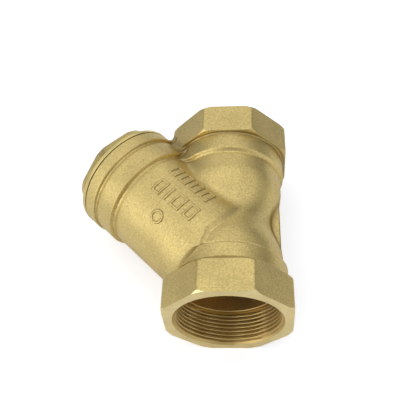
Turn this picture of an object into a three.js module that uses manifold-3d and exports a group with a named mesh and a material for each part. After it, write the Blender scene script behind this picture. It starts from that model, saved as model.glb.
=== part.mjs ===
// Brass Y strainer, 2 inch (DN50), with two internal G 2 sockets, lying on its side.
// The run lies along Y, the branch leaves it at 45 degrees towards -X and +Y, and both are level.
// Millimetres, +Z up. The origin is on the surface the strainer lies on, under the middle of its
// bounding box.

import * as THREE from "three";
import { mergeVertices } from "three/addons/utils/BufferGeometryUtils.js";
import Module from "manifold-3d";

const wasm = await Module();
wasm.setup();

// ---- Driving dimensions ----

const SEGMENTS = 48; // facets round every turned surface; a multiple of 4 puts a corner at the bottom

// Run
const FACE_TO_FACE = 126;
const OCTAGON_FLATS = 70; // across flats
const OCTAGON_LENGTH = 19;
const OCTAGON_CORNER_R = 36.5; // where the turned faces at both ends of an octagon meet its corners
const OCTAGON_CORNER_CLEARANCE = 0.5; // how far the turned blank stands outside the corners
const OCTAGON_SHOULDER = 0.4;
const COLLAR_R = 33.1; // round band behind each octagon
const COLLAR_START = 22.5; // from the end face
const COLLAR_END = 30;
const BARREL_R = 31.2; // cast barrel between collar and waist
const BARREL_START = 32.5; // from the end face
const WAIST_R = 24.6;
const WAIST_Y = -3;
const WAIST_HALF_LENGTH = 24;
const WALL = 4.6; // at the waist

// Sockets
const SOCKET_R = 29.07; // pitch radius of a G 2 thread, standing for the thread
const SOCKET_MOUTH_R = 30.3;
const SOCKET_DEPTH = 19.5;
const PASSAGE_R = 27.2;

// Web on the parting plane, opposite the branch
const WEB_REACH = 30;
const WEB_THICKNESS = 5;

// Branch. Distances along its axis start where it crosses the run's axis.
const BRANCH_ANGLE = THREE.MathUtils.degToRad(45);
const CROSSING_Y = -27.9;
const BRANCH_R = BARREL_R;
const BRANCH_COLLAR_R = 33.4;
const BRANCH_COLLAR_START = 67;
const BRANCH_COLLAR_STEP = 2; // length of the slope up to the collar
const RIM_BAND_R = 34.5;
const RIM_BAND_START = 81.5;
const RIM_BAND_STEP = 1.5;
const RIM_EDGE = 0.4; // chamfer round the rim
const RIM = 88.6;
const CHAMBER_R = 28.2;
const CAP_THREAD_R = 30.4; // pitch radius of the M62 x 2 cap thread
const CAP_THREAD_START = 72.5;
const CAP_THREAD_RUNOUT = 1.5;

// Seat wall between the inlet chamber and the screen chamber
const SEAT_WALL_START = 7;
const SEAT_WALL_END = 12;
const SEAT_HOLE_R = 21.5;
const SEAT_POCKET_R = 24.5;
const SEAT_POCKET_DEPTH = 3;

// Cap
const GASKET_SPACE = 1.2;
const FLANGE_R = OCTAGON_FLATS / 2;
const FLANGE_THICKNESS = 2.2;
const FLANGE_EDGE = 0.5;
const CAP_HEAD_FLATS = [63.3, 60.4]; // at the foot and at the top, for the draft of the casting
const CAP_HEAD_CORNERS = [68.2, 62.6]; // across the turned-back corners, at the foot and at the top
const CAP_HEAD_HEIGHT = 5.8;
const CAP_HEAD_TURN = THREE.MathUtils.degToRad(3.5); // where the head stops when the cap is tight
const SPIGOT_LENGTH = 14;
const SPIGOT_CLEARANCE = 0.15;
const SPIGOT_EDGE = 1;
const CAP_POCKET_R = 24.6; // holds the end of the screen
const CAP_POCKET_MOUTH_R = 25.8;
const CAP_FLOOR_THICKNESS = 5;

// Gasket
const GASKET_INNER_R = 31.1;
const GASKET_OUTER_R = 34;
const GASKET_GAP = 0.2; // left on both sides, as it is drawn relaxed and not squeezed

// Screen
const RING_R = 24.1;
const RING_LENGTH = 5;
const RING_WALL = 0.7;
const RING_LIP = 0.6;
const SLEEVE_R = 23.2;
const SLEEVE_WALL = 0.6;
const LINER_WALL = 0.4;
const SEAM_WIDTH = 7;
const SEAM_THICKNESS = 0.5;
const PIECE_GAP = 0.15; // left between the screen's pieces
const SCREEN_END_GAP = 0.3;

const OVERCUT = 1; // how far a cutting solid runs past the face it opens

// ---- Materials ----

const castBrass = new THREE.MeshStandardMaterial({ color: 0xc9ae6b, roughness: 0.42, metalness: 1 });
const turnedBrass = new THREE.MeshStandardMaterial({ color: 0xd9bf74, roughness: 0.25, metalness: 1 });
const fibre = new THREE.MeshStandardMaterial({ color: 0x2b2825, roughness: 0.8, metalness: 0 });
const stainless = new THREE.MeshStandardMaterial({ color: 0xb9bbbd, roughness: 0.3, metalness: 1 });
const stainlessCloth = new THREE.MeshStandardMaterial({ color: 0x8f9193, roughness: 0.45, metalness: 1 });

// ---- Solids ----

// A closed three.js geometry as a manifold-3d solid, placed by a matrix.
function solidOf(geometry, matrix = new THREE.Matrix4()) {
  const positions = new THREE.BufferGeometry().setAttribute("position", geometry.getAttribute("position"));
  positions.setIndex(geometry.getIndex());
  const merged = mergeVertices(positions.applyMatrix4(matrix), 1e-4);
  const mesh = new wasm.Mesh({
    numProp: 3,
    vertProperties: merged.getAttribute("position").array,
    triVerts: new Uint32Array(merged.getIndex().array),
  });
  return new wasm.Manifold(mesh);
}

// A manifold-3d solid as a three.js geometry.
function geometryOf(solid) {
  const mesh = solid.getMesh();
  const geometry = new THREE.BufferGeometry();
  geometry.setAttribute("position", new THREE.BufferAttribute(mesh.vertProperties, 3));
  geometry.setIndex(new THREE.BufferAttribute(mesh.triVerts, 1));
  geometry.computeVertexNormals();
  return geometry;
}

function points(profile) {
  return profile.map(([radius, along]) => new THREE.Vector2(radius, along));
}

// A solid turned about Y. The profile runs up Y as [radius, along] pairs, and the axis closes it.
function turned(profile) {
  const first = [0, profile[0][1]];
  const last = [0, profile[profile.length - 1][1]];
  return new THREE.LatheGeometry(points([first, ...profile, last]), SEGMENTS);
}

// A ring turned about Y, with a rectangular section.
function ring(inner, outer, low, high) {
  const section = [[inner, low], [outer, low], [outer, high], [inner, high], [inner, low]];
  return new THREE.LatheGeometry(points(section), SEGMENTS);
}

// An eight-sided bar along Y with a flat on top.
function octagonBar([lowFlats, highFlats], low, high) {
  const [lowR, highR] = [lowFlats, highFlats].map((flats) => flats / 2 / Math.cos(Math.PI / 8));
  const bar = new THREE.CylinderGeometry(highR, lowR, high - low, 8, 1, false, Math.PI / 8);
  return bar.translate(0, (low + high) / 2, 0);
}

const HALF_LENGTH = FACE_TO_FACE / 2;
const toBranch = new THREE.Matrix4()
  .makeTranslation(0, CROSSING_Y, 0)
  .multiply(new THREE.Matrix4().makeRotationZ(BRANCH_ANGLE));
const toOutletEnd = new THREE.Matrix4().makeRotationX(Math.PI);

// ---- Body ----

// The radius of the cast barrel, which narrows to a waist opposite the branch.
function barrelRadius(y, barrel, waist) {
  const share = Math.min(1, Math.abs(y - WAIST_Y) / WAIST_HALF_LENGTH);
  return waist + (barrel - waist) * Math.sin((share * Math.PI) / 2) ** 2;
}

// Profile points of the waist between its two ends.
function waistProfile(barrel, waist) {
  const steps = 12;
  return Array.from({ length: steps + 1 }, (_, i) => {
    const y = WAIST_Y + WAIST_HALF_LENGTH * (2 * (i / steps) - 1);
    return [barrelRadius(y, barrel, waist), y];
  });
}

// Barrel and collars, turned about the run's axis. The octagons cover its two ends.
function runBlank() {
  const inletEnd = [
    [COLLAR_R, -HALF_LENGTH + OCTAGON_LENGTH / 2],
    [COLLAR_R, -HALF_LENGTH + COLLAR_END],
    [BARREL_R, -HALF_LENGTH + BARREL_START],
  ];
  const outletEnd = inletEnd.map(([radius, y]) => [radius, -y]).reverse();
  return solidOf(turned([...inletEnd, ...waistProfile(BARREL_R, WAIST_R), ...outletEnd]));
}

// The octagonal end at the inlet. Cones turn its corners back at both faces and slope down to the collar.
function octagonEnd() {
  const face = -HALF_LENGTH;
  const back = face + OCTAGON_LENGTH;
  const collar = face + COLLAR_START;
  const flat = OCTAGON_FLATS / 2;
  const corner = flat / Math.cos(Math.PI / 8) + OCTAGON_CORNER_CLEARANCE;
  const chamfer = corner - OCTAGON_CORNER_R;
  const blank = turned([
    [OCTAGON_CORNER_R, face],
    [corner, face + chamfer],
    [corner, back - chamfer],
    [OCTAGON_CORNER_R, back],
    [flat, back + OCTAGON_SHOULDER],
    [COLLAR_R, collar],
  ]);
  return solidOf(octagonBar([OCTAGON_FLATS, OCTAGON_FLATS], face, collar)).intersect(solidOf(blank));
}

// The threaded socket at the inlet, with a coned mouth.
function socket() {
  const face = -HALF_LENGTH;
  const cone = SOCKET_MOUTH_R - SOCKET_R;
  return turned([
    [SOCKET_MOUTH_R + OVERCUT, face - OVERCUT],
    [SOCKET_R, face + cone],
    [SOCKET_R, face + SOCKET_DEPTH],
  ]);
}

// The run's waterway, which follows the outside one wall thickness in.
function waterway() {
  const reach = HALF_LENGTH - SOCKET_DEPTH + OVERCUT;
  return turned([[PASSAGE_R, -reach], ...waistProfile(PASSAGE_R, WAIST_R - WALL), [PASSAGE_R, reach]]);
}

// A block that holds the part of the run between two planes across the branch's axis.
function runBetween(low, high) {
  const span = 3 * FACE_TO_FACE;
  const block = new THREE.BoxGeometry(span, high - low, span).translate(0, (low + high) / 2, 0);
  return solidOf(block, toBranch);
}

function branchBlank() {
  return solidOf(
    turned([
      [BRANCH_R, 0],
      [BRANCH_R, BRANCH_COLLAR_START - BRANCH_COLLAR_STEP],
      [BRANCH_COLLAR_R, BRANCH_COLLAR_START],
      [BRANCH_COLLAR_R, RIM_BAND_START - RIM_BAND_STEP],
      [RIM_BAND_R, RIM_BAND_START],
      [RIM_BAND_R, RIM - RIM_EDGE],
      [RIM_BAND_R - RIM_EDGE, RIM],
    ]),
    toBranch,
  );
}

// Everything cut from the branch: thread, screen chamber, seat pocket and the hole through the seat wall.
function branchBore() {
  const seat = SEAT_WALL_END - SEAT_POCKET_DEPTH;
  const threadR = CAP_THREAD_R + SPIGOT_CLEARANCE;
  return solidOf(
    turned([
      [SEAT_HOLE_R, SEAT_WALL_START - OVERCUT],
      [SEAT_HOLE_R, seat],
      [SEAT_POCKET_R, seat],
      [SEAT_POCKET_R, SEAT_WALL_END],
      [CHAMBER_R, SEAT_WALL_END],
      [CHAMBER_R, CAP_THREAD_START],
      [threadR, CAP_THREAD_START + CAP_THREAD_RUNOUT],
      [threadR, RIM + OVERCUT],
    ]),
    toBranch,
  );
}

// A flat rib along the parting plane that fills the waist opposite the branch.
function partingWeb() {
  const length = FACE_TO_FACE - 2 * COLLAR_END;
  return solidOf(new THREE.BoxGeometry(WEB_REACH, length, WEB_THICKNESS).translate(WEB_REACH / 2, 0, 0));
}

function bodyGeometry() {
  const outside = runBlank()
    .add(octagonEnd())
    .add(octagonEnd().transform(toOutletEnd.elements))
    .add(branchBlank())
    .add(partingWeb());
  const passage = solidOf(waterway());
  const inletChamber = passage.intersect(runBetween(-FACE_TO_FACE, SEAT_WALL_START));
  const outletChamber = passage.intersect(runBetween(SEAT_WALL_END, FACE_TO_FACE));
  return geometryOf(
    outside
      .subtract(solidOf(socket()))
      .subtract(solidOf(socket(), toOutletEnd))
      .subtract(inletChamber)
      .subtract(outletChamber)
      .subtract(branchBore()),
  );
}

// ---- Cap, gasket and screen, modelled along the branch's axis ----

const FLANGE_START = RIM + GASKET_SPACE;
const HEAD_START = FLANGE_START + FLANGE_THICKNESS;
const HEAD_END = HEAD_START + CAP_HEAD_HEIGHT;
const SPIGOT_END = FLANGE_START - SPIGOT_LENGTH;
const POCKET_FLOOR = HEAD_END - CAP_FLOOR_THICKNESS;

// The cap's octagonal head, with a cone turning its corners back to a round face.
function capHead() {
  const low = HEAD_START - OVERCUT;
  const [footR, topR] = CAP_HEAD_CORNERS.map((across) => across / 2);
  const cone = turned([[footR, low], [footR, HEAD_START], [topR, HEAD_END]]);
  const turn = new THREE.Matrix4().makeRotationY(CAP_HEAD_TURN);
  return solidOf(octagonBar(CAP_HEAD_FLATS, low, HEAD_END), turn).intersect(solidOf(cone));
}

// The cap: its head on a round flange, over a hollow threaded spigot that holds the screen's end.
function capGeometry() {
  const spigotR = CAP_THREAD_R - SPIGOT_CLEARANCE;
  const blank = turned([
    [spigotR - SPIGOT_EDGE, SPIGOT_END],
    [spigotR, SPIGOT_END + SPIGOT_EDGE],
    [spigotR, FLANGE_START],
    [FLANGE_R - FLANGE_EDGE, FLANGE_START],
    [FLANGE_R, FLANGE_START + FLANGE_EDGE],
    [FLANGE_R, HEAD_START - FLANGE_EDGE],
    [FLANGE_R - FLANGE_EDGE, HEAD_START],
  ]);
  const hollow = turned([
    [CAP_POCKET_MOUTH_R, SPIGOT_END - OVERCUT],
    [CAP_POCKET_R, SPIGOT_END + SPIGOT_EDGE],
    [CAP_POCKET_R, POCKET_FLOOR],
  ]);
  return geometryOf(solidOf(blank).add(capHead()).subtract(solidOf(hollow)));
}

function gasketGeometry() {
  return ring(GASKET_INNER_R, GASKET_OUTER_R, RIM + GASKET_GAP, FLANGE_START - GASKET_GAP);
}

const SCREEN_START = SEAT_WALL_END - SEAT_POCKET_DEPTH + SCREEN_END_GAP;
const SCREEN_END = POCKET_FLOOR - SCREEN_END_GAP;
const SLEEVE_START = SCREEN_START + RING_LIP + PIECE_GAP;
const SLEEVE_END = SCREEN_END - RING_LIP - PIECE_GAP;
const LINER_R = SLEEVE_R - SLEEVE_WALL - PIECE_GAP;

// A stiffening ring crimped round one end of the sleeve, with a lip turned in over the sleeve's edge.
function endRing(edge, inwards) {
  const inner = RING_R - RING_WALL;
  const lipInner = LINER_R - LINER_WALL;
  const section = [
    [lipInner, edge],
    [RING_R, edge],
    [RING_R, edge + inwards * RING_LENGTH],
    [inner, edge + inwards * RING_LENGTH],
    [inner, edge + inwards * RING_LIP],
    [lipInner, edge + inwards * RING_LIP],
    [lipInner, edge],
  ];
  return new THREE.LatheGeometry(points(inwards > 0 ? section : section.reverse()), SEGMENTS);
}

// The strip spot-welded over the sleeve's seam, between the two end rings.
function seamStrip() {
  const low = SCREEN_START + RING_LENGTH + PIECE_GAP;
  const high = SCREEN_END - RING_LENGTH - PIECE_GAP;
  const inner = SLEEVE_R + PIECE_GAP;
  const outer = inner + SEAM_THICKNESS;
  const halfAngle = SEAM_WIDTH / 2 / inner;
  const outline = new THREE.Shape();
  outline.absarc(0, 0, outer, -halfAngle, halfAngle, false);
  outline.absarc(0, 0, inner, halfAngle, -halfAngle, true);
  const depth = high - low;
  const strip = new THREE.ExtrudeGeometry(outline, { depth, bevelEnabled: false, curveSegments: 4 });
  return strip.rotateX(-Math.PI / 2).translate(0, low, 0);
}

// ---- Assembly ----

function piece(name, geometry, material) {
  const mesh = new THREE.Mesh(geometry, material);
  mesh.name = name;
  return mesh;
}

const branch = new THREE.Group();
branch.position.set(0, CROSSING_Y, 0);
branch.rotation.z = BRANCH_ANGLE;
branch.add(
  piece("cap", capGeometry(), turnedBrass),
  piece("cap_gasket", gasketGeometry(), fibre),
  piece("screen_seat_ring", endRing(SCREEN_START, 1), stainless),
  piece("screen_cap_ring", endRing(SCREEN_END, -1), stainless),
  piece("screen_sleeve", ring(SLEEVE_R - SLEEVE_WALL, SLEEVE_R, SLEEVE_START, SLEEVE_END), stainless),
  piece("screen_liner", ring(LINER_R - LINER_WALL, LINER_R, SLEEVE_START, SLEEVE_END), stainlessCloth),
  piece("screen_seam_strip", seamStrip(), stainless),
);

const strainer = new THREE.Group();
strainer.add(piece("body", bodyGeometry(), castBrass), branch);

// Stand the strainer on z = 0 with its bounding box centred over the origin.
const bounds = new THREE.Box3().setFromObject(strainer, true);
const middle = bounds.getCenter(new THREE.Vector3());
strainer.position.set(-middle.x, -middle.y, -bounds.min.z);

export default strainer;
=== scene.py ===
"""Looks of the brass Y strainer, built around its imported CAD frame.

Shapes are worked out in millimetres in the run's own frame: Y along the run, which is the line
x = 0, z = 0, with y = 0 halfway between the two end faces. The branch has a frame of its own,
turned 45 degrees about Z at the point where the two axes cross. mesh_object() turns both into
metres in the row frame.
"""

import math

import bpy
import numpy as np
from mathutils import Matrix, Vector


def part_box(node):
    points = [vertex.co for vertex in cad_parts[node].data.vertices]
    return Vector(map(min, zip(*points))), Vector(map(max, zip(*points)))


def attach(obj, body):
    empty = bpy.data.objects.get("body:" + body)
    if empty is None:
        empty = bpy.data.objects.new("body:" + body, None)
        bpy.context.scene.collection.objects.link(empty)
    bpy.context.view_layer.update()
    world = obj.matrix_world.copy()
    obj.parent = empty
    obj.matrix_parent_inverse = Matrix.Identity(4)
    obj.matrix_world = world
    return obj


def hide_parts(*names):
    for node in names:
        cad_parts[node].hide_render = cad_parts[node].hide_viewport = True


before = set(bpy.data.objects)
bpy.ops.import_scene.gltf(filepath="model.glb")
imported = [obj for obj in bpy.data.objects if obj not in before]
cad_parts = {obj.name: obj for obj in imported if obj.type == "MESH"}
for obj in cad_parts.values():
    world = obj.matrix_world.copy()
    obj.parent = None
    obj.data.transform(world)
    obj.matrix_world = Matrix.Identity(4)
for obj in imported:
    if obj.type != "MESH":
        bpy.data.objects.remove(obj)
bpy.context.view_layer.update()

import openvdb
from mathutils import Matrix, Vector

MM = 0.001
TURN = 2 * math.pi

# ---- Driving dimensions, in millimetres ----

FACE = 63.0  # end faces, from the middle of the run
OCTAGON_R = 35.0  # to the middle of a flat
OCTAGON_EDGE_R = 2.4  # rounding along the corners
OCTAGON_BACK = 43.4  # where an octagon starts, from the middle of the run
OCTAGON_TURNED_R = 36.5  # of the round that cuts its corners at both ends
COLLAR_R = 33.1
INLET_COLLAR = 33.0  # about where the inlet's collar starts, from the middle of the run
BARREL_R = 31.2
INLET_BARREL_R = 30.4
BARREL_START = 27  # where the barrels start, from the middle of the run
WAIST_R = 24.6
WAIST_Y = -3.0
WAIST_HALF = 24.0
WAIST_SLOPE = 0.35
WAIST_SLANT = 1.06  # length along that slope for each millimetre along the run
WALL = 4.6
WEB_REACH = 30.0
WEB_HALF = 2.5
WEB_LENGTH = 33.0

SOCKET_MOUTH_R = 30.3
SOCKET_DEPTH = 19.5
SOCKET_RELIEF_R = 29.5
SOCKET_RELIEF = 0.9
PIPE_PITCH = 2.309
PIPE_MINOR_R = 28.33
PIPE_MAJOR_R = 29.81
PASSAGE_R = 27.2

CROSSING_Y = -27.9
BRANCH_ROOT = 7.5  # where the branch's tube starts to rise out of the run
BRANCH_ROOT_R = 27.5
BRANCH_STEP = 65.0
BRANCH_COLLAR = 67.0
BRANCH_COLLAR_R = 33.4
RIM_STEP = 80.0
RIM_BAND = 81.5
RIM_R = 34.5
RIM = 88.6
CHAMBER_R = 28.2
SEAT_BACK = 7.0
SEAT_FACE = 12.0
SEAT_HOLE_R = 21.5
SEAT_POCKET_R = 24.5
SEAT_POCKET = 3.0
CAP_PITCH = 2.0
CAP_THREAD_R = 30.4
CAP_THREAD_DEPTH = 1.2
CAP_THREAD_END = 74.0
THREAD_CLEARANCE = 0.15
THREAD_STEPS = 12  # rows of points for each turn

GASKET_INNER_R = 31.1
GASKET_OUTER_R = 34.0
GASKET_GAP = 0.2
FLANGE_R = 34.9
FLANGE = 89.8
FLANGE_THICKNESS = 2.2
FLANGE_SKIRT = 0.7  # hangs round the gasket
SPIGOT_LENGTH = 14.0
HEAD_FLAT_R = (31.65, 30.2)  # to the middle of a flat, at the foot and at the top
HEAD_CORNER_R = (34.1, 31.3)  # to the turned-back corners
HEAD_END = 97.8
HEAD_TURN = math.radians(3.5)
HEAD_EDGE_R = 0.7
FACE_RECESS_R = 16.0
FACE_RECESS = 0.8
POCKET_R = 24.6
POCKET_FLOOR = 92.8

SCREEN_START = 9.3
SCREEN_END = 92.5
RING_R = 24.1
RING_LENGTH = 5.0
RING_WALL = 0.7
RING_LIP = 0.6
SLEEVE_R = 23.2
SLEEVE_WALL = 0.6
SCREEN_GAP = 0.15
LINER_R = SLEEVE_R - SLEEVE_WALL - SCREEN_GAP
LINER_WALL = 0.4
HOLE_R = 1.05
HOLES_ROUND = 42
WIRES_ROUND = 110
WIRE_PITCH = 1.3
RING_CRIMP_R = 0.8
SEAM_WIDTH = 7.0
SEAM_THICKNESS = 0.5
SPOT_PITCH = 7.0
SPOT_R = 1.1
SPOT_DEPTH = 0.22

MARK_HEIGHT = 0.95
MARK_WIDTH = 1.3
# Boxes: middle along and round the branch, and half their size along and round it.
MARK_BOXES = [
    (27, 11.5, 2.3, 3.6),
    (35.5, 11.5, 2.3, 3.6),
    (44, 11.5, 2.3, 3.6),
    (52.5, 11.5, 2.3, 3.6),
    (24.5, -3, 2.5, 4.0),
    (34.5, -3, 2.9, 4.0),
    (42.5, -3, 0.1, 4.0),
    (50, -3, 2.5, 4.0),
]
MARK_RING = (38.5, -17, 3.4)  # middle along and round the branch, radius

# Widths over which the casting's shapes run into each other.
JOIN = 0.6  # run and branch, where they face the same way
VALLEY = 6.5  # added to that, in full where they face opposite ways
OUTLET_VALLEY = 2.5  # added to VALLEY near the outlet
INLET_VALLEY = 2.0  # added near the inlet, on the branch's side
CROTCH = 6.0  # outlet octagon and branch
CREASE = 0.1  # inlet octagon and branch
OCTAGON_FOOT = 0.9  # octagons and barrels
WEB_FOOT = 2.0
SEAT_CORNER = 2.5
MARK_EDGE = 0.4
MARK_FOOT = 0.3

VOXEL = 0.5
CHAMBER_VOXEL = 1.0
FEWER_FACES = 0.35  # what the casting keeps of its faces before it is machined
AROUND = 192


# ---- Distances to the casting ----

def smooth_min(a, b, k):
    """The smaller of two distances, rounded over a width k where they are alike."""
    k = np.maximum(k, 1e-3)
    h = np.clip(0.5 + 0.5 * (b - a) / k, 0, 1)
    return b + (a - b) * h - k * h * (1 - h)


def smooth_max(a, b, k):
    """The larger of two distances, rounded in the same way."""
    return -smooth_min(-a, -b, k)


def ramp(value, start, width):
    """0 up to start, then rising to 1 over width."""
    return np.clip((value - start) / width, 0, 1)


def softened(at, corners, width):
    """A line through corners, averaged over width, so that its corners are round, and its slope."""
    x, r = zip(*corners)
    offsets = np.linspace(-0.5, 0.5, 9) * width
    fine = np.linspace(x[0] - 5, x[-1] + 5, 4001)
    mean = np.mean([np.interp(fine + o, x, r) for o in offsets], axis=0)
    value = np.interp(at, fine, mean)
    slope = np.interp(at, fine, np.gradient(mean, fine))
    return value, slope


def octagon(x, z, flat_r):
    """Distance in the plane to an octagon with a flat on top."""
    x, z = np.abs(x), np.abs(z)
    c, s = math.cos(math.pi / 8), math.sin(math.pi / 8)
    for cx, cz in ((-c, s), (c, s)):
        fold = 2 * np.minimum(cx * x + cz * z, 0)
        x, z = x - fold * cx, z - fold * cz
    half = flat_r * math.tan(math.pi / 8)
    x = x - np.clip(x, -half, half)
    z = z - flat_r
    return np.hypot(x, z) * np.sign(z)


def waist(y, inlet, outlet, narrow):
    """Radius of the run's middle, which narrows between its two barrels."""
    share = np.clip(np.abs(y - WAIST_Y) / WAIST_HALF, 0, 1)
    barrel = np.where(y < WAIST_Y, inlet, outlet)
    return narrow + (barrel - narrow) * np.sin(share * math.pi / 2) ** 2


def branch_frame(x, y):
    """Distance along the branch's axis and across it, in the level plane."""
    c = math.sqrt(0.5)
    return c * (y - CROSSING_Y - x), c * (y - CROSSING_Y + x)


# Rows of distance from the run's middle, or along the branch, and radius.
OUTLET_PROFILE = [
    (BARREL_START, BARREL_R),
    (28.4, BARREL_R),
    (29.9, BARREL_R - 0.15),
    (30.8, BARREL_R + 0.1),
    (31.4, BARREL_R + 1.0),
    (31.9, COLLAR_R - 0.1),
    (32.6, COLLAR_R),
    (41.8, COLLAR_R),
    (OCTAGON_BACK + 1.0, COLLAR_R + 0.4),
]
INLET_PROFILE = [
    (BARREL_START, INLET_BARREL_R),
    (30.4, INLET_BARREL_R),
    (31.4, INLET_BARREL_R - 0.5),
    (32.1, INLET_BARREL_R - 0.4),
    (32.8, COLLAR_R),
    (41.4, COLLAR_R),
    (42.6, OCTAGON_R - 0.8),
    (OCTAGON_BACK + 2.0, OCTAGON_R - 0.9),
]
BRANCH_PROFILE = [
    (0.0, BRANCH_ROOT_R),
    (BRANCH_ROOT, BRANCH_ROOT_R),
    (BRANCH_ROOT + 4.5, BARREL_R - 0.2),
    (BRANCH_ROOT + 5.5, BARREL_R),
    (BRANCH_STEP - 2.4, BARREL_R),
    (BRANCH_STEP - 0.6, BARREL_R - 0.2),
    (BRANCH_STEP + 0.3, BARREL_R - 0.1),
    (BRANCH_STEP + 0.9, BARREL_R + 0.5),
    (BRANCH_COLLAR - 0.6, BRANCH_COLLAR_R),
    (RIM_STEP - 2.0, BRANCH_COLLAR_R),
    (RIM_STEP - 0.3, BRANCH_COLLAR_R - 0.45),
    (RIM_STEP + 0.7, BRANCH_COLLAR_R - 0.35),
    (RIM_BAND - 0.2, RIM_R),
    (RIM + 2, RIM_R),
]


def flared(gap, slope, reach=1.2):
    """The distance across a sloping profile, from the radial gap to it; past reach the gap itself."""
    return gap / np.sqrt(1 + (slope * np.clip(1 - np.abs(gap) / reach, 0, 1)) ** 2)


def plain_casting(x, y, z):
    """Signed distance to the outside of the casting without its raised marks, before any machining."""
    r, t = np.hypot(x, z), np.abs(y)
    along, across = branch_frame(x, y)
    rho = np.hypot(across, z)
    inlet_side = y < 0

    outlet, outlet_slope = softened(t, OUTLET_PROFILE, 0.6)
    inlet, inlet_slope = softened(t, INLET_PROFILE, 0.5)
    # 1 where the branch's tube runs over the inlet's collar.
    covered = np.clip((-x - 14 + 1.2 * (INLET_COLLAR + y)) / 6, 0, 1)
    inlet = inlet - covered * (inlet - INLET_BARREL_R)
    middle = waist(y, INLET_BARREL_R, BARREL_R, WAIST_R)
    radius = np.where(t < BARREL_START, middle, np.where(inlet_side, inlet, outlet))
    slope = np.where(inlet_side, inlet_slope, outlet_slope)
    run = flared(r - radius, np.where(t < BARREL_START, WAIST_SLOPE, slope))
    run = np.maximum(run, t - FACE - 1)

    lengthened = along + 6 * ramp(-across, 4, 12) * ramp(-along, -20, 8)  # the root reaches back
    radius, slope = softened(lengthened, BRANCH_PROFILE, 0.6)
    branch = flared(rho - radius, slope)
    branch = np.maximum(branch, np.maximum(-along, along - RIM - 1))

    ends = octagon(x, z, OCTAGON_R - OCTAGON_EDGE_R - 0.03) - OCTAGON_EDGE_R
    ends = smooth_max(ends, OCTAGON_BACK - t, np.where(inlet_side, 0.6, 0.9))
    cone = (r - OCTAGON_TURNED_R - (t - OCTAGON_BACK)) * math.sqrt(0.5)
    ends = smooth_max(ends, cone, 0.8)
    ends = np.maximum(ends, t - FACE - 1)

    web = smooth_max(np.abs(z) - WEB_HALF, x - WEB_REACH, 1.0)
    web = np.maximum(np.maximum(web, -x), t - WEB_LENGTH)

    # The cosine between the ways the two tubes face: 1 on top, less in the valleys beside the branch.
    facing = (x * across * math.sqrt(0.5) + z * z) / np.maximum(r * rho, 1e-6)
    turned_away = np.sqrt(np.clip((1 - facing) / 2, 0, 1))
    valley = (VALLEY + OUTLET_VALLEY * ramp(y, 18, 8)) * turned_away
    valley = valley + INLET_VALLEY * ramp(-x, 0, 20) * ramp(-y, 28, 6)
    whole = smooth_min(run, branch, JOIN + valley)
    ends = smooth_min(ends, branch, np.where(inlet_side, CREASE, CROTCH))
    whole = smooth_min(whole, ends, OCTAGON_FOOT)
    return smooth_min(whole, web, WEB_FOOT)


def casting(x, y, z):
    """Signed distance to the outside of the casting, before any machining."""
    return smooth_min(plain_casting(x, y, z), raised_marks(x, y, z), MARK_FOOT)


def raised_marks(x, y, z):
    """Plain raised outlines on the branch: two rows of boxes and a ring."""
    along, across = branch_frame(x, y)
    rho = np.hypot(across, z)
    v = BARREL_R * np.arctan2(across, z)
    shape = np.abs(np.hypot(along - MARK_RING[0], v - MARK_RING[1]) - MARK_RING[2])
    for middle, height, half_along, half_round in MARK_BOXES:
        edge = np.maximum(np.abs(along - middle) - half_along, np.abs(v - height) - half_round)
        shape = np.minimum(shape, np.abs(edge))
    return smooth_max(shape - MARK_WIDTH / 2, rho - BARREL_R - MARK_HEIGHT, MARK_EDGE)


def waterway(x, y, z):
    """Signed distance to the cast chambers either side of the seat wall."""
    r = np.hypot(x, z)
    along, _ = branch_frame(x, y)
    tube = (r - waist(y, PASSAGE_R, PASSAGE_R, WAIST_R - WALL)) / WAIST_SLANT
    tube = np.maximum(tube, np.abs(y) - FACE + SOCKET_DEPTH - 1)
    wall = np.minimum(SEAT_FACE - along, along - SEAT_BACK)
    return smooth_max(tube, wall, SEAT_CORNER)


# ---- Meshes ----

def surface(distance, low, high, voxel):
    """The surface where a distance is zero, as points and faces, with each point moved onto it."""
    axes = [np.arange(a, b + voxel, voxel, dtype=np.float32) for a, b in zip(low, high)]
    x, y, z = np.meshgrid(*axes, indexing="ij", sparse=True)
    band = 3 * voxel
    values = np.clip(distance(x, y, z), -band, band).astype(np.float32)
    grid = openvdb.FloatGrid(background=band)
    grid.copyFromArray(np.ascontiguousarray(values))
    points, quads = grid.convertToQuads()
    points = np.array(low) + points.astype(float) * voxel
    return onto(distance, points), quads


def gradient(distance, points, step=0.02):
    """How a distance grows along each axis, at each point."""
    parts = []
    for axis in range(3):
        shift = np.zeros(3)
        shift[axis] = step
        parts.append(distance(*(points + shift).T) - distance(*(points - shift).T))
    return np.stack(parts, axis=1) / (2 * step)


def onto(distance, points, rounds=3):
    """Points moved along the gradient until their distance is zero."""
    for _ in range(rounds):
        g = gradient(distance, points)
        size = np.maximum((g * g).sum(1), 0.05)
        step = distance(*points.T) / size
        points = points - g * np.clip(step, -0.4, 0.4)[:, None]
    return points


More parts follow.
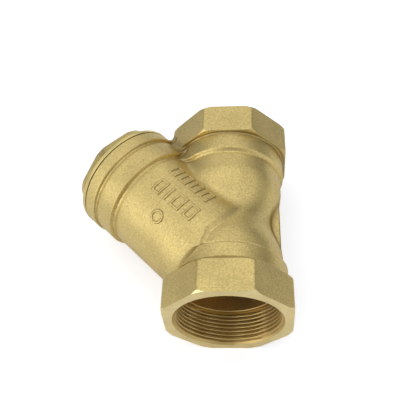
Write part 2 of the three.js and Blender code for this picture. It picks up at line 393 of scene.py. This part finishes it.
def spun(rows, around=AROUND, closed=False):
    """A solid about the local Y axis, as points, faces and each face's material slot.

    Each row is (y, radius) or (y, radius, slot), the slot being that of the band that ends there,
    and the radius a number or one for each angle. The angle turns from +Z towards +X,
    right-handed about +Y. A row of radius 0 is one point, and closed joins the last row to the
    first.
    """
    phi = np.arange(around) * TURN / around
    points, rings, bands = [], [], []
    for y, radius, *slot in rows:
        bands.append(slot[0] if slot else (bands[-1] if bands else 0))
        if np.ndim(radius) == 0 and radius == 0:
            rings.append([len(points)] * around)
            points.append((0.0, y, 0.0))
            continue
        radius = np.broadcast_to(radius, around)
        height = np.broadcast_to(y, around)
        rings.append(list(range(len(points), len(points) + around)))
        points.extend(zip(radius * np.sin(phi), height, radius * np.cos(phi)))
    if closed:
        rings.append(rings[0])
        bands.append(bands[0])
    faces, slots = [], []
    for low, high, slot in zip(rings, rings[1:], bands[1:]):
        for i in range(around):
            j = (i + 1) % around
            face = list(dict.fromkeys([low[i], low[j], high[j], high[i]]))
            if len(face) > 2:
                faces.append(face)
                slots.append(slot)
    return np.array(points), faces, slots


LOWEST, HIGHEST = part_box("body")
RUN_ORIGIN = Vector((HIGHEST.x / MM - OCTAGON_R, 0, HIGHEST.z / MM - OCTAGON_R))
RUN_ORIGIN.y = (LOWEST.y + HIGHEST.y) / 2 / MM
RUN_FRAME = Matrix.Translation(RUN_ORIGIN)
BRANCH_TURN = Matrix.Rotation(math.radians(45), 4, "Z")
BRANCH_FRAME = RUN_FRAME @ Matrix.Translation((0, CROSSING_Y, 0)) @ BRANCH_TURN
OUTLET_FRAME = RUN_FRAME @ Matrix.Rotation(math.pi, 4, "Z")


def mesh_object(name, local, shape, *materials):
    """A mesh in the row frame, in metres, from points in millimetres in a local frame."""
    points, faces, *slots = shape
    turned = np.array(local.to_3x3()) @ np.asarray(points, float).T
    points = (turned.T + np.array(local.translation)) * MM
    mesh = bpy.data.meshes.new(name)
    mesh.from_pydata(points.tolist(), [], faces if isinstance(faces, list) else faces.tolist())
    for material in materials:
        mesh.materials.append(material)
    if slots:
        mesh.polygons.foreach_set("material_index", slots[0])
    shape = bpy.data.objects.new(name, mesh)
    bpy.context.scene.collection.objects.link(shape)
    return shape


def apply_modifiers(shape):
    graph = bpy.context.evaluated_depsgraph_get()
    mesh = bpy.data.meshes.new_from_object(shape.evaluated_get(graph), depsgraph=graph)
    shape.modifiers.clear()
    old, shape.data = shape.data, mesh
    bpy.data.meshes.remove(old)


def cut(shape, *cutters):
    for cutter in cutters:
        boolean = shape.modifiers.new("cut", "BOOLEAN")
        boolean.operation = "DIFFERENCE"
        boolean.solver = "MANIFOLD"
        boolean.material_mode = "TRANSFER"
        boolean.object = cutter
    apply_modifiers(shape)
    for cutter in cutters:
        bpy.data.objects.remove(cutter)


def shade(shape, angle=38):
    shape.data.shade_smooth()
    shape.data.set_sharp_from_angle(angle=math.radians(angle))


# ---- Materials ----

RUN_AXIS = RUN_ORIGIN * MM
BRANCH_AXIS = (RUN_ORIGIN + Vector((0, CROSSING_Y, 0))) * MM


class Surface:
    """A material's node tree, with short ways to add the nodes used below."""

    def __init__(self, name, roughness, metallic=1.0):
        self.material = bpy.data.materials.new(name)
        self.material.use_nodes = True
        self.tree = self.material.node_tree
        self.shader = self.tree.nodes["Principled BSDF"]
        self.shader.inputs["Roughness"].default_value = roughness
        self.shader.inputs["Metallic"].default_value = metallic
        self.place = self.tree.nodes.new("ShaderNodeTexCoord").outputs["Object"]

    def node(self, kind, **values):
        made = self.tree.nodes.new("ShaderNode" + kind)
        for key, value in values.items():
            if key in made.inputs:
                self.feed(made.inputs[key], value)
            else:
                setattr(made, key, value)
        return made

    def feed(self, socket, value):
        if isinstance(value, bpy.types.NodeSocket):
            self.tree.links.new(value, socket)
        else:
            socket.default_value = value

    def noise(self, size, detail=3.0, place=None):
        """Noise from 0 to 1 whose features are about size millimetres across."""
        place = place or self.place
        return self.node("TexNoise", Vector=place, Scale=1000 / size, Detail=detail).outputs["Fac"]

    def span(self, value, low, high, start=0.3, end=0.7):
        made = self.node("MapRange")
        for socket, number in zip(made.inputs[:5], (value, start, end, low, high)):
            self.feed(socket, number)
        return made.outputs["Result"]

    def mix(self, factor, first, second):
        mixed = self.node("Mix", data_type="RGBA")
        self.feed(mixed.inputs["Factor"], factor)
        self.feed(mixed.inputs[6], first)
        self.feed(mixed.inputs[7], second)
        self.feed(self.shader.inputs["Base Color"], mixed.outputs[2])

    def colour(self, factor, first, second):
        """Base colour between two colours."""
        self.mix(factor, (*first, 1), (*second, 1))

    def tint(self, factor, colour):
        """The base colour so far, mixed towards another."""
        self.mix(factor, self.shader.inputs["Base Color"].links[0].from_socket, (*colour, 1))

    def sum(self, *values):
        total = values[0]
        for value in values[1:]:
            made = self.node("Math", operation="ADD")
            self.feed(made.inputs[0], total)
            self.feed(made.inputs[1], value)
            total = made.outputs[0]
        return total

    def bump(self, height, depth, strength=1.0):
        """Height from 0 to 1 stands for a depth in millimetres."""
        made = self.node("Bump", Height=height, Distance=depth * MM, Strength=strength)
        self.feed(self.shader.inputs["Normal"], made.outputs["Normal"])

    def turned_place(self, origin, turn):
        """The place in a frame that is moved to an origin and turned about Z."""
        moved = self.node("Mapping", Vector=self.place, vector_type="POINT", Location=-origin)
        turned = self.node("VectorRotate", Vector=moved.outputs[0], rotation_type="Z_AXIS", Angle=-turn)
        return turned.outputs[0]

    def rings(self, axis_point, turn, pitch):
        """Turning marks round an axis in the level plane, pitch millimetres apart."""
        wave = self.node("TexWave", wave_type="RINGS", rings_direction="Y")
        self.feed(wave.inputs["Vector"], self.turned_place(axis_point, turn))
        wave.inputs["Scale"].default_value = 1000 / pitch / TURN
        wave.inputs["Distortion"].default_value = 1.5
        wave.inputs["Detail"].default_value = 2
        wave.inputs["Detail Scale"].default_value = 0.6
        return wave.outputs["Fac"]


# Colours of the brasses, dark and light.
CAST = ((0.62, 0.485, 0.195), (0.83, 0.654, 0.265))
CHAMBER = ((0.72, 0.51, 0.20), (0.82, 0.60, 0.26))
END_FACE = ((0.80, 0.65, 0.31), (0.93, 0.78, 0.39))
PIPE_THREAD = ((0.60, 0.44, 0.17), (0.68, 0.50, 0.20))
BRANCH_BORE = ((0.68, 0.55, 0.25), (0.76, 0.62, 0.30))
FLANGE_RIM = ((0.78, 0.62, 0.24), (0.84, 0.68, 0.28))
SHADE_COLOUR = (0.26, 0.18, 0.07)  # colour of the painted shade in the casting's corners and hollows
TURNING_PITCH = 0.35  # of the marks from the lathe
TURNING_DEPTH = 0.012


def cast_surface(name, shades, roughness, depth):
    """Brass as it comes from the mould and the shot blaster, with painted shade in its corners and
    hollows.
    """
    made = Surface(name, roughness)
    grain = made.noise(0.9, 2)
    fine = made.noise(0.4, 2)
    blotch = made.noise(16, 4)
    # Random grain and blotches in the tone, whose lighter specks are partly painted glints of the
    # blasted facets.
    grain_and_glints = made.sum(made.span(blotch, 0, 0.5, 0, 1), grain)
    made.colour(made.span(grain_and_glints, 0, 1, 0.58, 0.95), *shades)
    # Painted shade: the base colour darkens in the casting's corners and hollows, as far as the mesh
    # says they are occluded.
    shaded_share = made.node("Attribute", attribute_name="painted_occlusion").outputs["Fac"]
    made.tint(made.span(shaded_share, 0, 0.75, 0, 1), SHADE_COLOUR)
    made.feed(made.shader.inputs["Roughness"], made.span(grain, roughness + 0.1, roughness - 0.1))
    made.bump(made.sum(grain, made.span(fine, 0, 0.15)), depth)
    return made.material


def turned_surface(name, shades, roughness, axis_point=RUN_AXIS, turn=0.0):
    """Brass with the fine rings that a lathe tool leaves."""
    made = Surface(name, roughness)
    rings = made.rings(axis_point, turn, TURNING_PITCH)
    stain = made.noise(9, 4)
    made.colour(made.span(stain, 0, 1), *shades)
    made.feed(made.shader.inputs["Roughness"], made.span(stain, roughness - 0.05, roughness + 0.08))
    made.bump(made.sum(rings, made.span(made.noise(0.8), 0, 0.5)), TURNING_DEPTH)
    return made.material


cast_brass = cast_surface("brass_as_cast", CAST, 0.38, 0.14)
head_brass = cast_surface("brass_forged", CAST, 0.38, 0.05)
chamber_brass = cast_surface("brass_in_chamber", CHAMBER, 0.45, 0.12)
face_brass = turned_surface("brass_end_face", END_FACE, 0.3)
thread_brass = turned_surface("brass_pipe_thread", PIPE_THREAD, 0.42)
branch_brass = turned_surface("brass_branch_bore", BRANCH_BORE, 0.3, BRANCH_AXIS, math.pi / 4)
rim_brass = turned_surface("brass_flange_rim", FLANGE_RIM, 0.18, BRANCH_AXIS, math.pi / 4)


def gasket_surface():
    made = Surface("fibre", 0.8, 0)
    fibre = made.noise(0.6, 5)
    made.colour(made.span(fibre, 0, 1), (0.10, 0.070, 0.035), (0.17, 0.125, 0.070))
    made.bump(fibre, 0.06)
    return made.material


def steel_surface(name, first, second, roughness):
    """Rolled stainless sheet, with faint marks along the branch."""
    made = Surface(name, roughness)
    turned = made.node("VectorRotate", Vector=made.place, rotation_type="Z_AXIS", Angle=-math.pi / 4)
    drawn = made.node("Mapping", Vector=turned.outputs[0], Scale=(1, 0.05, 1)).outputs[0]
    marks = made.noise(0.5, 4, drawn)
    made.colour(made.span(made.noise(12, 3), 0, 1), first, second)
    made.feed(made.shader.inputs["Roughness"], made.span(marks, roughness - 0.06, roughness + 0.08))
    made.bump(marks, 0.015)
    return made.material


def cloth_surface():
    """Woven wire cloth: two sets of fine ridges that cross, with painted shade in the gaps between the
    wires.
    """
    made = Surface("wire_cloth", 0.4)
    split = made.node("SeparateXYZ", Vector=made.turned_place(BRANCH_AXIS, math.pi / 4))
    angle = made.node("Math", operation="ARCTAN2")
    made.feed(angle.inputs[0], split.outputs["X"])
    made.feed(angle.inputs[1], split.outputs["Z"])
    ridges = []
    wires_along = TURN / (WIRE_PITCH * MM)
    for value, rate in ((angle.outputs[0], WIRES_ROUND), (split.outputs["Y"], wires_along)):
        scaled = made.node("Math", operation="MULTIPLY")
        made.feed(scaled.inputs[0], value)
        scaled.inputs[1].default_value = rate
        wave = made.node("Math", operation="SINE")
        made.feed(wave.inputs[0], scaled.outputs[0])
        ridges.append(made.span(wave.outputs[0], 0, 1, -0.6, 0.9))
    highest = made.node("Math", operation="MAXIMUM")
    made.feed(highest.inputs[0], ridges[0])
    made.feed(highest.inputs[1], ridges[1])
    # Painted shade: the gaps between the wires are coloured near black.
    made.colour(made.span(highest.outputs[0], 0, 1, 0.1, 0.6), (0.05, 0.05, 0.05), (0.56, 0.56, 0.55))
    made.bump(highest.outputs[0], 0.2)
    return made.material


fibre = gasket_surface()
cloth = cloth_surface()
sheet_steel = steel_surface("sheet_steel", (0.52, 0.53, 0.54), (0.62, 0.62, 0.62), 0.32)


# ---- Body ----

def thread(y, pitch, inner, outer, around=AROUND):
    """Radius of a right-hand thread with round crests, for each angle."""
    phi = np.arange(around) * TURN / around
    wave = np.cos(TURN * y / pitch - phi)
    return (inner + outer) / 2 + (outer - inner) / 2 * wave


def socket_cutter(name, local):
    """What is machined at one end of the run: face, turned corners, mouth, thread and relief."""
    face, bottom = -FACE, -FACE + SOCKET_DEPTH
    clear_r = OCTAGON_TURNED_R + 3.0
    rows = [
        (face - 4, 0),
        (face - 4, clear_r),
        (face + 3.0, clear_r),
        (face, OCTAGON_TURNED_R),
        (face, SOCKET_MOUTH_R),
    ]
    steps = int((SOCKET_DEPTH - SOCKET_RELIEF) / PIPE_PITCH * THREAD_STEPS)
    for i in range(1, steps + 1):
        y = face + i * PIPE_PITCH / THREAD_STEPS
        cone = SOCKET_MOUTH_R - (y - face)
        rows.append((y, np.maximum(cone, thread(y, PIPE_PITCH, PIPE_MINOR_R, PIPE_MAJOR_R)), 1))
    rows += [
        (rows[-1][0] + 0.5, SOCKET_RELIEF_R),
        (bottom, SOCKET_RELIEF_R),
        (bottom, PASSAGE_R + 0.3),
        (bottom + 0.3, PASSAGE_R),
        (bottom + 0.3, 0),
    ]
    return mesh_object(name, local, spun(rows), face_brass, thread_brass)


def branch_cutter():
    """Everything machined in the branch: rim, cap thread, screen chamber, seat pocket and seat hole."""
    crest = CAP_THREAD_R + THREAD_CLEARANCE - CAP_THREAD_DEPTH / 2
    root = crest + CAP_THREAD_DEPTH
    mouth = root + 0.7
    seat = SEAT_FACE - SEAT_POCKET
    rows = [
        (SEAT_BACK - 2, 0),
        (SEAT_BACK - 2, SEAT_HOLE_R),
        (seat, SEAT_HOLE_R),
        (seat, SEAT_POCKET_R),
        (SEAT_FACE - 0.5, SEAT_POCKET_R),
        (SEAT_FACE, SEAT_POCKET_R + 0.5),
        (SEAT_FACE, CHAMBER_R - 2),
        (SEAT_FACE + 0.6, CHAMBER_R - 0.6),
        (SEAT_FACE + 2, CHAMBER_R),
        (CAP_THREAD_END - 2.5, CHAMBER_R),
        (CAP_THREAD_END - 1.5, root),
        (CAP_THREAD_END, root),
    ]
    for s in np.arange(CAP_THREAD_END, RIM, CAP_PITCH / THREAD_STEPS)[1:]:
        rows.append((s, np.maximum(mouth - (RIM - s), thread(s, CAP_PITCH, crest, root))))
    chamfer, clear_r = 0.15, RIM_R + 1.4
    rows += [
        (RIM, mouth),
        (RIM, RIM_R - chamfer),
        (RIM - chamfer, RIM_R),
        (RIM - chamfer, clear_r),
        (RIM + 3, clear_r),
        (RIM + 3, 0),
    ]
    return mesh_object("branch_cutter", BRANCH_FRAME, spun(rows), branch_brass)


def body():
    low, high = (-90, -FACE - 2, -37), (38, FACE + 2, 37)
    shape = mesh_object("body_casting", RUN_FRAME, surface(casting, low, high, VOXEL), cast_brass)
    fewer = shape.modifiers.new("fewer", "DECIMATE")
    fewer.ratio = FEWER_FACES
    apply_modifiers(shape)
    low, high = (-29, -44, -29), (29, 44, 29)
    inner = surface(waterway, low, high, CHAMBER_VOXEL)
    inner = mesh_object("chambers", RUN_FRAME, inner, chamber_brass)
    inlet = socket_cutter("inlet_cutter", RUN_FRAME)
    outlet = socket_cutter("outlet_cutter", OUTLET_FRAME)
    cut(shape, inner, inlet, outlet, branch_cutter())
    smooth_casting(shape)
    return shape


def smooth_casting(shape):
    """Shades the cast faces with the distance's own normals, and stores how occluded each point is, for
    painted shade.

    The machined edges stay crisp. A point is occluded where the casting lies nearer than it should to
    places straight out from its surface.
    """
    shade(shape, 30)
    mesh = shape.data
    corners = np.zeros((len(mesh.loops), 3), np.float32)
    mesh.corner_normals.foreach_get("vector", corners.ravel())
    vertex = np.zeros(len(mesh.loops), np.int32)
    mesh.loops.foreach_get("vertex_index", vertex)
    points = np.zeros(len(mesh.vertices) * 3, np.float32)
    mesh.vertices.foreach_get("co", points)
    points = points.reshape(-1, 3).astype(float) / MM - np.array(RUN_ORIGIN)
    slots = np.zeros(len(mesh.polygons), np.int32)
    mesh.polygons.foreach_get("material_index", slots)
    sizes = np.zeros(len(mesh.polygons), np.int32)
    mesh.polygons.foreach_get("loop_total", sizes)
    loop_slot = np.repeat(slots, sizes)
    outside = gradient(casting, points)
    outside /= np.maximum(np.linalg.norm(outside, axis=1), 1e-6)[:, None]
    cast = loop_slot == mesh.materials[:].index(cast_brass)
    corners[cast] = outside[vertex[cast]]
    mesh.normals_split_custom_set(corners)
    # Painted shade: how occluded each point is, kept on the mesh for the material to darken.
    reaches = (1.2, 2.8)
    clear = [plain_casting(*(points + outside * reach).T) / reach for reach in reaches]
    shaded_share = np.clip((0.96 - np.mean(clear, axis=0)) / 0.35, 0, 1)
    shaded_share = np.where(np.abs(casting(*points.T)) < 0.3, shaded_share, 0)
    mesh.attributes.new("painted_occlusion", "FLOAT", "POINT").data.foreach_set("value", shaded_share.astype(np.float32))


# ---- Cap, gasket and screen ----

def cap():
    around = 288
    phi = np.arange(around) * TURN / around
    eighth = TURN / 8
    aslant = np.cos((phi - HEAD_TURN + eighth / 2) % eighth - eighth / 2)
    crest = CAP_THREAD_R - THREAD_CLEARANCE + CAP_THREAD_DEPTH / 2
    root = crest - CAP_THREAD_DEPTH
    end = FLANGE - SPIGOT_LENGTH
    shelf = FLANGE + FLANGE_THICKNESS
    turned, rim, head = 0, 1, 2
    rows = [
        (POCKET_FLOOR, 0, turned),
        (POCKET_FLOOR, POCKET_R - 0.6),
        (POCKET_FLOOR - 0.6, POCKET_R),
        (end + 1, POCKET_R),
        (end, POCKET_R + 1),
        (end, root - 0.6),
    ]
    for s in np.arange(end, FLANGE - 2, CAP_PITCH / THREAD_STEPS)[1:]:
        rows.append((s, np.minimum(root - 0.6 + s - end, thread(s, CAP_PITCH, root, crest, around))))
    rows += [
        (FLANGE - 1.7, root - 0.1),
        (FLANGE, root - 0.1),
        (FLANGE, GASKET_OUTER_R + 0.15),
        (FLANGE - FLANGE_SKIRT, GASKET_OUTER_R + 0.25, rim),
        (FLANGE - FLANGE_SKIRT, FLANGE_R - 0.15),
        (FLANGE - FLANGE_SKIRT + 0.15, FLANGE_R),
        (shelf - 1.0, FLANGE_R),
        (shelf - 0.45, FLANGE_R - 0.15),
        (shelf - 0.1, FLANGE_R - 0.5),
        (shelf, FLANGE_R - 0.75),
    ]
    for s in np.linspace(shelf, HEAD_END - HEAD_EDGE_R, 24):
        flat = np.interp(s, (shelf, HEAD_END), HEAD_FLAT_R)
        corner = np.interp(s, (shelf, HEAD_END), HEAD_CORNER_R)
        rows.append((s, smooth_min(flat / aslant, corner, 0.4), head))
    edge = rows[-1][1]
    for turn in (20, 40, 60, 75, 90):
        turn = math.radians(turn)
        s = HEAD_END - HEAD_EDGE_R + HEAD_EDGE_R * math.sin(turn)
        rows.append((s, edge - HEAD_EDGE_R * (1 - math.cos(turn)), head))
    rows += [
        (HEAD_END, FACE_RECESS_R + 1.5),
        (HEAD_END - 0.3, FACE_RECESS_R + 1.1),
        (HEAD_END - 0.7, FACE_RECESS_R + 0.6),
        (HEAD_END - FACE_RECESS, FACE_RECESS_R),
        (HEAD_END - FACE_RECESS, 0),
    ]
    materials = (branch_brass, rim_brass, head_brass)
    shape = mesh_object("cap_turned", BRANCH_FRAME, spun(rows, around), *materials)
    shade(shape, 32)
    return shape


def gasket():
    low, high = RIM + GASKET_GAP, FLANGE - GASKET_GAP
    rows = [
        (low, GASKET_INNER_R + 0.12),
        (low, GASKET_OUTER_R - 0.12),
        (low + 0.12, GASKET_OUTER_R),
        (high - 0.12, GASKET_OUTER_R),
        (high, GASKET_OUTER_R - 0.12),
        (high, GASKET_INNER_R + 0.12),
        (high - 0.12, GASKET_INNER_R),
        (low + 0.12, GASKET_INNER_R),
    ]
    shape = mesh_object("gasket_ring", BRANCH_FRAME, spun(rows, closed=True), fibre)
    shade(shape)
    return shape


def end_ring(name, edge, inwards):
    """A ring crimped round one end of the sleeve, its lip turned in over the sleeve's edge."""
    inner, lip = RING_R - RING_WALL, LINER_R - LINER_WALL
    section = [(0, lip), (0, RING_R - RING_CRIMP_R)]
    for turn in (22.5, 45, 67.5, 90):
        turn = math.radians(turn)
        s = RING_CRIMP_R - RING_CRIMP_R * math.cos(turn)
        section.append((s, RING_R - RING_CRIMP_R + RING_CRIMP_R * math.sin(turn)))
    section += [
        (RING_LENGTH - 0.15, RING_R),
        (RING_LENGTH, RING_R - 0.15),
        (RING_LENGTH, inner),
        (RING_LIP + 0.3, inner),
        (RING_LIP, inner - 0.3),
        (RING_LIP, lip),
    ]
    rows = [(edge + inwards * s, r) for s, r in section]
    shape = mesh_object(name, BRANCH_FRAME, spun(rows[::inwards], closed=True), sheet_steel)
    shade(shape)
    return shape


def perforated_sleeve():
    """A tube with staggered round holes, each in a cell that shares its edge points with the next."""
    start, end = SCREEN_START + RING_LIP + SCREEN_GAP, SCREEN_END - RING_LIP - SCREEN_GAP
    levels = round((end - start) / (TURN * SLEEVE_R / HOLES_ROUND * 0.87))
    tall, wide = (end - start) / levels, TURN / HOLES_ROUND
    corners = [(-0.5, -0.5), (0, -0.5), (0.5, -0.5), (0.5, 0.5), (0, 0.5), (-0.5, 0.5)]
    parts = (2, 2, 4, 2, 2, 4)  # edges of the hole that face each side of the cell
    points, faces, known = [], [], {}

    def point(level, column, side, shift=(0, 0)):
        """Index of a point: side 0 is the outer skin, 1 the inner one; column counts half cells."""
        key = (round(level * 2), round(column) % (2 * HOLES_ROUND), side) if shift == (0, 0) else None
        if key in known:
            return known[key]
        r = SLEEVE_R - side * SLEEVE_WALL
        angle = column * wide / 2 + shift[0] / SLEEVE_R
        points.append((r * math.sin(angle), start + level * tall + shift[1], r * math.cos(angle)))
        if key:
            known[key] = len(points) - 1
        return len(points) - 1

    for level in range(levels):
        for cell in range(HOLES_ROUND):
            column = 2 * cell + level % 2
            angles = []
            for (u0, v0), (u1, v1), count in zip(corners, corners[1:] + corners[:1], parts):
                a0 = math.atan2(v0 * tall, u0 * wide * SLEEVE_R)
                a1 = math.atan2(v1 * tall, u1 * wide * SLEEVE_R)
                a1 += TURN if a1 < a0 else 0
                angles += [a0 + (a1 - a0) * k / count for k in range(count)]
            holes = []
            for side in (0, 1):
                middle = level + 0.5
                rim = [(HOLE_R * math.cos(a), HOLE_R * math.sin(a)) for a in angles]
                hole = [point(middle, column, side, at) for at in rim]
                outer = [point(middle + v, column + 2 * u, side) for u, v in corners]
                first = 0
                for k, count in enumerate(parts):
                    arc = [hole[(first + n) % len(hole)] for n in range(count + 1)]
                    face = [outer[k], outer[(k + 1) % 6]] + arc[::-1]
                    faces.append(face if side == 0 else face[::-1])
                    first += count
                holes.append(hole)
            outside, inside = holes
            after = (inside[1:] + inside[:1], outside[1:] + outside[:1])
            for a, b, c, d in zip(outside, inside, *after):
                faces.append([a, d, c, b])
    for level, flip in ((0, 1), (levels, -1)):
        for column in range(2 * HOLES_ROUND):
            edge = [point(level, column, 0), point(level, column, 1)]
            edge += [point(level, column + 1, 1), point(level, column + 1, 0)]
            faces.append(edge[::flip])
    shape = mesh_object("sleeve_perforated", BRANCH_FRAME, (points, faces), sheet_steel)
    shade(shape, 50)
    return shape


def liner():
    start, end = SCREEN_START + RING_LIP + SCREEN_GAP, SCREEN_END - RING_LIP - SCREEN_GAP
    levels = np.linspace(start, end, 30)
    rows = [(s, LINER_R) for s in levels] + [(s, LINER_R - LINER_WALL) for s in levels[::-1]]
    shape = mesh_object("liner_woven", BRANCH_FRAME, spun(rows, closed=True), cloth)
    shade(shape)
    return shape


def seam_strip():
    """The strip over the sleeve's seam, with a row of spot welds pressed into it."""
    low = SCREEN_START + RING_LENGTH + SCREEN_GAP
    high = SCREEN_END - RING_LENGTH - SCREEN_GAP
    inner = SLEEVE_R + SCREEN_GAP
    long, across = 240, 16
    u = np.linspace(-SEAM_WIDTH / 2, SEAM_WIDTH / 2, across + 1)
    s = np.linspace(low, high, long + 1)
    points = []
    for side in (0, 1):
        for at in s:
            along = (at - low) % SPOT_PITCH - SPOT_PITCH / 2
            dimple = SPOT_DEPTH * np.exp(-((u / SPOT_R) ** 2) - (along / SPOT_R) ** 2)
            edge = 0.2 * np.clip(np.abs(u) - SEAM_WIDTH / 2 + 0.5, 0, 0.5) ** 2 / 0.25
            r = inner + (SEAM_THICKNESS - dimple - edge if side == 0 else 0 * u)
            angle = math.pi / 2 + u / inner
            points += zip(r * np.sin(angle), np.full(len(u), at), r * np.cos(angle))
    width, layer = across + 1, (long + 1) * (across + 1)
    faces = []
    for i in range(long):
        for k in range(across):
            a = i * width + k
            face = [a, a + 1, a + 1 + width, a + width]
            faces += [face, [n + layer for n in face[::-1]]]
    rim = list(range(across)) + [i * width + across for i in range(long)]
    rim += [long * width + k for k in range(across, 0, -1)] + [i * width for i in range(long, 0, -1)]
    for a, b in zip(rim, rim[1:] + rim[:1]):
        faces.append([b, a, a + layer, b + layer])
    shape = mesh_object("seam_strip_welded", BRANCH_FRAME, (points, faces), sheet_steel)
    shade(shape)
    return shape


# ---- Camera, light and floor ----

AZIMUTH, ELEVATION, ROLL = -7.94, 53.6, -7.37  # degrees
DISTANCE = 381.14
LOOK_AT = Vector((-18.0, 18.21, 0.0))  # in the run's frame
LENS = 55.88
BACKDROP = 0.9  # brightness where the camera looks past the floor
FLOOR_SIZE = 3.0  # metres to each side
FLOOR_GLOW = 0.51
FLOOR_GLOW_COLOUR = (0.87, 0.905, 1, 1)


def camera():
    az, el, roll = (math.radians(a) for a in (AZIMUTH, ELEVATION, ROLL))
    look = Vector((math.sin(az) * math.cos(el), math.cos(az) * math.cos(el), -math.sin(el)))
    right = look.cross(Vector((0, 0, 1))).normalized()
    up = right.cross(look)
    cos, sin = math.cos(roll), math.sin(roll)
    right, up = right * cos + up * sin, up * cos - right * sin
    turn = Matrix((right, up, -look)).transposed().to_4x4()
    data = bpy.data.cameras.new("camera")
    data.lens = LENS
    data.sensor_width = 36
    data.clip_end = 20
    eye = bpy.data.objects.new("camera", data)
    eye.matrix_world = Matrix.Translation((RUN_ORIGIN + LOOK_AT - look * DISTANCE) * MM) @ turn
    bpy.context.scene.collection.objects.link(eye)
    bpy.context.scene.camera = eye


def area_light(name, at, size, power, target=(0, 0, 0.03)):
    data = bpy.data.lights.new(name, "AREA")
    data.shape = "RECTANGLE"
    data.size, data.size_y = size
    data.energy = power
    lamp = bpy.data.objects.new(name, data)
    lamp.location = at
    lamp.rotation_euler = (Vector(target) - Vector(at)).to_track_quat("-Z", "Y").to_euler()
    bpy.context.scene.collection.objects.link(lamp)


# Soft patches of sky: azimuth from +Y towards +X, elevation, brightness.
SKY_PATCHES = [
    (0, 15, 0.45),
    (0, 45, 0.57),
    (45, 45, 0.22),
    (90, 45, 0.78),
    (135, 15, 0.98),
    (225, 15, 2.12),
    (270, 15, 0.34),
    (270, 45, 0.70),
    (315, 45, 0.30),
]
SKY_SPREAD = 8.0  # how narrow a patch is


def sky():
    """The patches light the object, and the camera sees the plain backdrop in their place."""
    world = bpy.data.worlds.new("studio")
    world.use_nodes = True
    tree = world.node_tree
    way = tree.nodes.new("ShaderNodeTexCoord").outputs["Generated"]

    def math_node(operation, first, *numbers):
        made = tree.nodes.new("ShaderNodeMath")
        made.operation = operation
        tree.links.new(first, made.inputs[0])
        for socket, number in zip(made.inputs[1:], numbers):
            socket.default_value = number
        return made

    total = None
    for azimuth, elevation, strength in SKY_PATCHES:
        az, el = math.radians(azimuth), math.radians(elevation)
        level = math.cos(el)
        facing = tree.nodes.new("ShaderNodeVectorMath")
        facing.operation = "DOT_PRODUCT"
        facing.inputs[1].default_value = (math.sin(az) * level, math.cos(az) * level, math.sin(el))
        tree.links.new(way, facing.inputs[0])
        fade = math_node("MULTIPLY_ADD", facing.outputs["Value"], SKY_SPREAD, -SKY_SPREAD)
        patch = math_node("MULTIPLY", math_node("EXPONENT", fade.outputs[0]).outputs[0], strength)
        if total is None:
            total = patch
            continue
        both = math_node("ADD", total.outputs[0])
        tree.links.new(patch.outputs[0], both.inputs[1])
        total = both
    seen = tree.nodes.new("ShaderNodeMix")
    tree.links.new(tree.nodes.new("ShaderNodeLightPath").outputs["Is Camera Ray"], seen.inputs["Factor"])
    tree.links.new(total.outputs[0], seen.inputs["A"])
    seen.inputs["B"].default_value = BACKDROP
    tree.links.new(seen.outputs["Result"], tree.nodes["Background"].inputs["Strength"])
    tree.nodes["Background"].inputs["Color"].default_value = (1, 1, 1, 1)
    bpy.context.scene.world = world


def studio():
    sky()
    bpy.context.scene.view_settings.view_transform = "Standard"
    area_light("top_softbox", (0.0, -0.05, 1.10), (1.0, 1.0), 2.2)
    made = Surface("floor_paper", 0.9, 0)
    made.colour(made.span(made.noise(40, 2), 0, 1), (0.92, 0.92, 0.92), (0.94, 0.94, 0.94))
    made.shader.inputs["Emission Color"].default_value = FLOOR_GLOW_COLOUR
    seen = made.node("LightPath").outputs["Is Camera Ray"]
    made.feed(made.shader.inputs["Emission Strength"], made.span(seen, 0, FLOOR_GLOW, 0, 1))
    size = FLOOR_SIZE
    corners = [(-size, -size, 0), (size, -size, 0), (size, size, 0), (-size, size, 0)]
    mesh = bpy.data.meshes.new("floor")
    mesh.from_pydata(corners, [], [(0, 1, 2, 3)])
    mesh.materials.append(made.material)
    floor = bpy.data.objects.new("floor", mesh)
    bpy.context.scene.collection.objects.link(floor)


# ---- Assembly ----

PIECES = [
    (body(), "strainer_body", "cast_brass", ["body"]),
    (cap(), "cap", "turned_brass", ["cap"]),
    (gasket(), "gasket", "gasket_fibre", ["cap_gasket"]),
    (end_ring("seat_end_ring", SCREEN_START, 1), "screen", "stainless", ["screen_seat_ring"]),
    (end_ring("cap_end_ring", SCREEN_END, -1), "screen", "stainless", ["screen_cap_ring"]),
    (perforated_sleeve(), "screen", "stainless", ["screen_sleeve"]),
    (liner(), "screen", "stainless_cloth", ["screen_liner"]),
    (seam_strip(), "screen", "stainless", ["screen_seam_strip"]),
]
for piece, carrier, slot, nodes in PIECES:
    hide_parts(*nodes)
    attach(piece, carrier)
camera()
studio()
